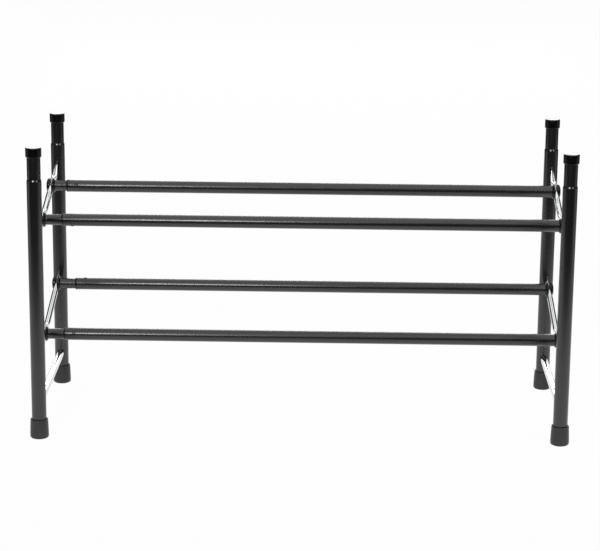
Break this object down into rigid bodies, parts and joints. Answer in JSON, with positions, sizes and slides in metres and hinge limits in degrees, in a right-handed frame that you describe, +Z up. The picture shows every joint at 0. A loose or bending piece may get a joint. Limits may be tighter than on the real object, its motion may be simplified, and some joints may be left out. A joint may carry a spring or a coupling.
{
  "type": "extendable shoe rack",
  "caption": "Extendable shoe rack: sloping shelves of telescopic tubes between stacking end frames that pull apart sideways.",
  "frame": {"origin": "on the floor, midway between the outer faces of the end fittings and midway between the front and rear feet, at rest", "axes": "+X across the width, towards the frame that stays put; +Z up; the front faces -Y"},
  "size_m": [0.7024, 0.2654, 0.385],
  "materials": {
    "coated_steel": "semi-gloss black powder coat",
    "chrome": "bright chrome plate",
    "rubber": "matt moulded rubber",
    "black_plastic": "satin moulded plastic",
    "zinc": "zinc plate"
  },
  "bodies": {
    "right_frame": {"right_front_post": "coated_steel", "right_front_cap": "black_plastic", "right_front_foot": "rubber", "right_rear_post": "coated_steel", "right_rear_cap": "black_plastic", "right_rear_foot": "rubber", "right_bottom_rail": "chrome", "right_upper_rail": "chrome", "right_lower_rail": "chrome", "right_upper_front_plug": "black_plastic", "right_upper_front_saddle": "black_plastic", "right_upper_front_screw": "zinc", "right_upper_rear_plug": "black_plastic", "right_upper_rear_saddle": "black_plastic", "right_upper_rear_screw": "zinc", "right_lower_front_plug": "black_plastic", "right_lower_front_saddle": "black_plastic", "right_lower_front_screw": "zinc", "right_lower_rear_plug": "black_plastic", "right_lower_rear_saddle": "black_plastic", "right_lower_rear_screw": "zinc", "upper_front_outer_tube": "coated_steel", "upper_rear_outer_tube": "coated_steel", "lower_front_outer_tube": "coated_steel", "lower_rear_outer_tube": "coated_steel", "upper_front_bush": "black_plastic", "upper_rear_bush": "black_plastic", "lower_front_bush": "black_plastic", "lower_rear_bush": "black_plastic"},
    "left_frame": {"left_front_post": "coated_steel", "left_front_cap": "black_plastic", "left_front_foot": "rubber", "left_rear_post": "coated_steel", "left_rear_cap": "black_plastic", "left_rear_foot": "rubber", "left_bottom_rail": "chrome", "left_upper_rail": "chrome", "left_lower_rail": "chrome", "left_upper_front_plug": "black_plastic", "left_upper_front_saddle": "black_plastic", "left_upper_front_screw": "zinc", "left_upper_rear_plug": "black_plastic", "left_upper_rear_saddle": "black_plastic", "left_upper_rear_screw": "zinc", "left_lower_front_plug": "black_plastic", "left_lower_front_saddle": "black_plastic", "left_lower_front_screw": "zinc", "left_lower_rear_plug": "black_plastic", "left_lower_rear_saddle": "black_plastic", "left_lower_rear_screw": "zinc", "upper_front_inner_tube": "coated_steel", "upper_rear_inner_tube": "coated_steel", "lower_front_inner_tube": "coated_steel", "lower_rear_inner_tube": "coated_steel", "upper_front_guide": "black_plastic", "upper_rear_guide": "black_plastic", "lower_front_guide": "black_plastic", "lower_rear_guide": "black_plastic"}
  },
  "joints": [
    {"name": "pull_out", "type": "slide", "parent": "right_frame", "child": "left_frame", "axis": [-1, 0, 0], "range_m": [-0.0157, 0.48]}
  ]
}
